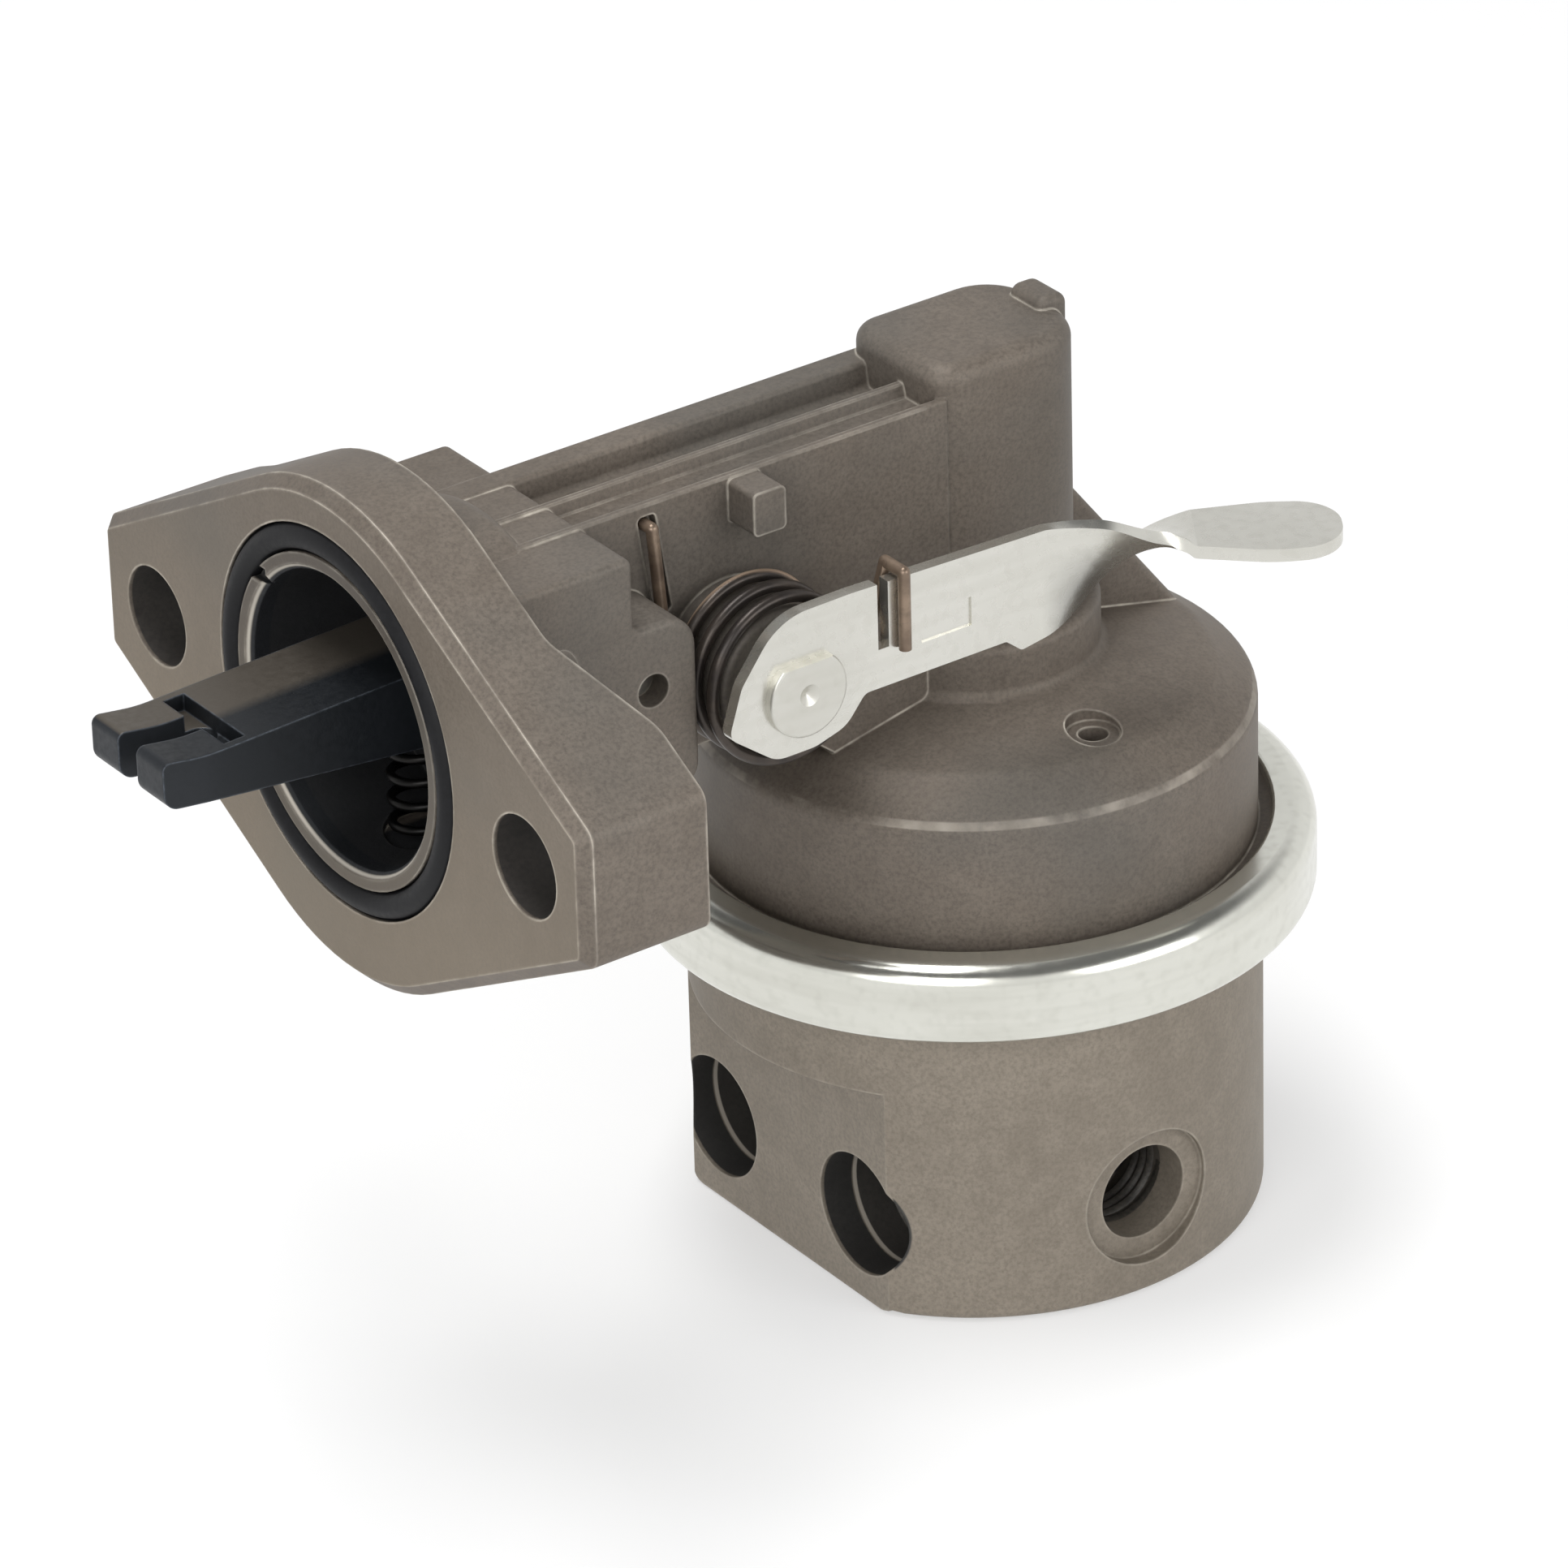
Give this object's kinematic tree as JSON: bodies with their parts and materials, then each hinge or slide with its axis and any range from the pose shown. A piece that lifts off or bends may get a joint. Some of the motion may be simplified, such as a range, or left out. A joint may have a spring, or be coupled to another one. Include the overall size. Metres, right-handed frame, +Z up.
{
  "type": "fuel transfer pump",
  "caption": "Cam-driven diaphragm fuel transfer pump: cast flange and arm, forked rocker, twisted priming lever, crimped diaphragm chamber and ported valve body.",
  "frame": {"origin": "centre of the flange bore on the mounting face", "axes": "-X out of the mounting face to the engine, +X along the arm to the diaphragm chamber, +Z up, -Y to the priming lever side"},
  "size_m": [0.1148, 0.0718, 0.0883],
  "materials": {
    "cast_upper": "as-cast grey-brown, fine mottled grain, worn edges",
    "cast_lower": "as-cast grey-brown, machined flat and ports",
    "zinc_ring": "zinc-plated rolled steel, satin",
    "zinc_lever": "zinc-plated stamping, satin",
    "shaft_steel": "turned steel, staked end bright",
    "dark_forging": "hardened and blackened steel",
    "pin_steel": "ground steel",
    "spring_steel": "copper-brown tempered spring wire",
    "plate_steel": "pressed steel, yellow-grey plating",
    "seal_rubber": "black moulded rubber",
    "diaphragm_rubber": "fabric-reinforced rubber",
    "valve_brass": "turned brass",
    "valve_rubber": "moulded rubber disc"
  },
  "bodies": {
    "housing": {"upper_housing": "cast_upper", "flange_seal": "seal_rubber", "rocker_pin": "pin_steel", "rod_seal": "seal_rubber", "seal_retainer": "plate_steel", "crimp_ring": "zinc_ring", "lower_body": "cast_lower", "diaphragm": "diaphragm_rubber", "diaphragm_spring": "spring_steel", "return_spring": "spring_steel", "prime_spring": "spring_steel", "inlet_valve_seat": "valve_brass", "inlet_valve_stem": "valve_brass", "inlet_valve_spring": "spring_steel", "outlet_valve_seat": "valve_brass", "outlet_valve_stem": "valve_brass", "outlet_valve_spring": "spring_steel"},
    "rocker": {"rocker_arm": "dark_forging"},
    "diaphragm_stack": {"pull_rod": "pin_steel", "upper_plate": "plate_steel", "lower_plate": "plate_steel", "rivet_washer": "plate_steel"},
    "primer": {"prime_shaft": "shaft_steel", "shaft_seal": "seal_rubber", "prime_lever": "zinc_lever"},
    "inlet_disc": {"inlet_valve_disc": "valve_rubber"},
    "outlet_disc": {"outlet_valve_disc": "valve_rubber"}
  },
  "joints": [
    {"name": "rocker_hinge", "type": "hinge", "parent": "housing", "child": "rocker", "pos_m": [0.0226, 0, 0.0011], "axis": [0, -1, 0], "range_deg": [0, 7], "stiffness_Nm_per_rad": 0.5, "springref_deg": -6.88, "deforming": ["return_spring"]},
    {"name": "diaphragm_slide", "type": "slide", "parent": "housing", "child": "diaphragm_stack", "axis": [0, 0, 1], "range_m": [0, 0.00515], "stiffness_N_per_m": 1500, "springref_m": -0.003, "deforming": ["diaphragm_spring", "diaphragm"]},
    {"name": "priming_hinge", "type": "hinge", "parent": "housing", "child": "primer", "pos_m": [0.0349, 0, -0.0014], "axis": [0, -1, 0], "range_deg": [0, 35], "stiffness_Nm_per_rad": 0.1, "springref_deg": -22.92, "deforming": ["prime_spring"]},
    {"name": "inlet_lift", "type": "slide", "parent": "housing", "child": "inlet_disc", "axis": [0, 0, 1], "range_m": [0, 0.0015], "stiffness_N_per_m": 10, "springref_m": -0.001, "deforming": ["inlet_valve_spring"]},
    {"name": "outlet_lift", "type": "slide", "parent": "housing", "child": "outlet_disc", "axis": [0, 0, -1], "range_m": [0, 0.0015], "stiffness_N_per_m": 10, "springref_m": -0.001, "deforming": ["outlet_valve_spring"]}
  ],
  "couplings": [
    {"joint": "rocker_hinge", "follows": "diaphragm_slide", "rad_per_m": 23.7}
  ]
}
